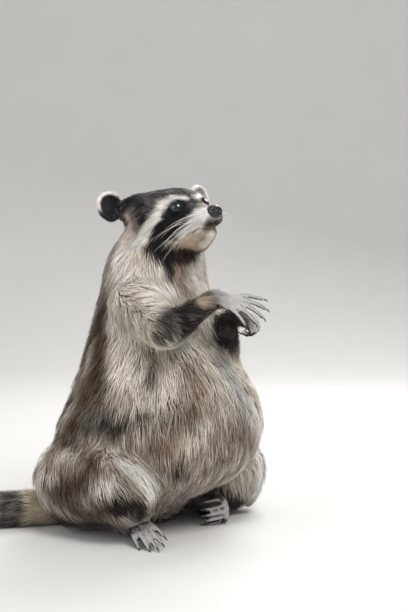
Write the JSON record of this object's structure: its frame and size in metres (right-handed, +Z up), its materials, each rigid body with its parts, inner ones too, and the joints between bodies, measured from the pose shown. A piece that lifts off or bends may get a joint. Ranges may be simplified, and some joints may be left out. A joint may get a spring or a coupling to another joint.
{
  "type": "raccoon",
  "caption": "Life-size raccoon museum model sitting upright on its haunches, a forepaw held out, long bushy tail lying on the floor behind it.",
  "frame": {"origin": "on the floor plane, on the flat underside of the rump between the hips", "axes": "+Z up, the raccoon's chest faces -Y and its tail leaves towards +Y, its own left side is +X"},
  "size_m": [0.3725, 0.4225, 0.4122],
  "materials": {
    "body_coat": "long grizzled grey-brown fur with pale tips",
    "face_coat": "short dense fur with a black mask and white bands",
    "tail_coat": "bushy fur in dark and tan rings",
    "paws": "very short pale grey hair over dark skin and bare pads",
    "nose": "moist, finely pebbled black skin",
    "eyes": "dark brown, wet and glossy",
    "claws": "dark brown horn with paler tips"
  },
  "bodies": {
    "root": {"right_eye": "eyes", "left_eye": "eyes", "nose": "nose", "head": "face_coat", "lower_jaw": "face_coat", "right_ear": "face_coat", "left_ear": "face_coat", "neck": "body_coat", "chest": "body_coat", "abdomen": "body_coat", "right_upper_arm": "body_coat", "right_forearm": "body_coat", "right_thigh": "body_coat", "right_shin": "body_coat", "left_upper_arm": "body_coat", "left_forearm": "body_coat", "left_thigh": "body_coat", "left_shin": "body_coat", "right_hand": "paws", "right_hand_claw_1": "claws", "right_hand_claw_2": "claws", "right_hand_claw_3": "claws", "right_hand_claw_4": "claws", "right_hand_claw_5": "claws", "left_hand": "paws", "left_hand_claw_1": "claws", "left_hand_claw_2": "claws", "left_hand_claw_3": "claws", "left_hand_claw_4": "claws", "left_hand_claw_5": "claws", "right_foot": "paws", "right_foot_claw_1": "claws", "right_foot_claw_2": "claws", "right_foot_claw_3": "claws", "right_foot_claw_4": "claws", "right_foot_claw_5": "claws", "left_foot": "paws", "left_foot_claw_1": "claws", "left_foot_claw_2": "claws", "left_foot_claw_3": "claws", "left_foot_claw_4": "claws", "left_foot_claw_5": "claws", "tail_1": "tail_coat", "tail_2": "tail_coat", "tail_3": "tail_coat", "tail_4": "tail_coat"}
  },
  "joints": []
}
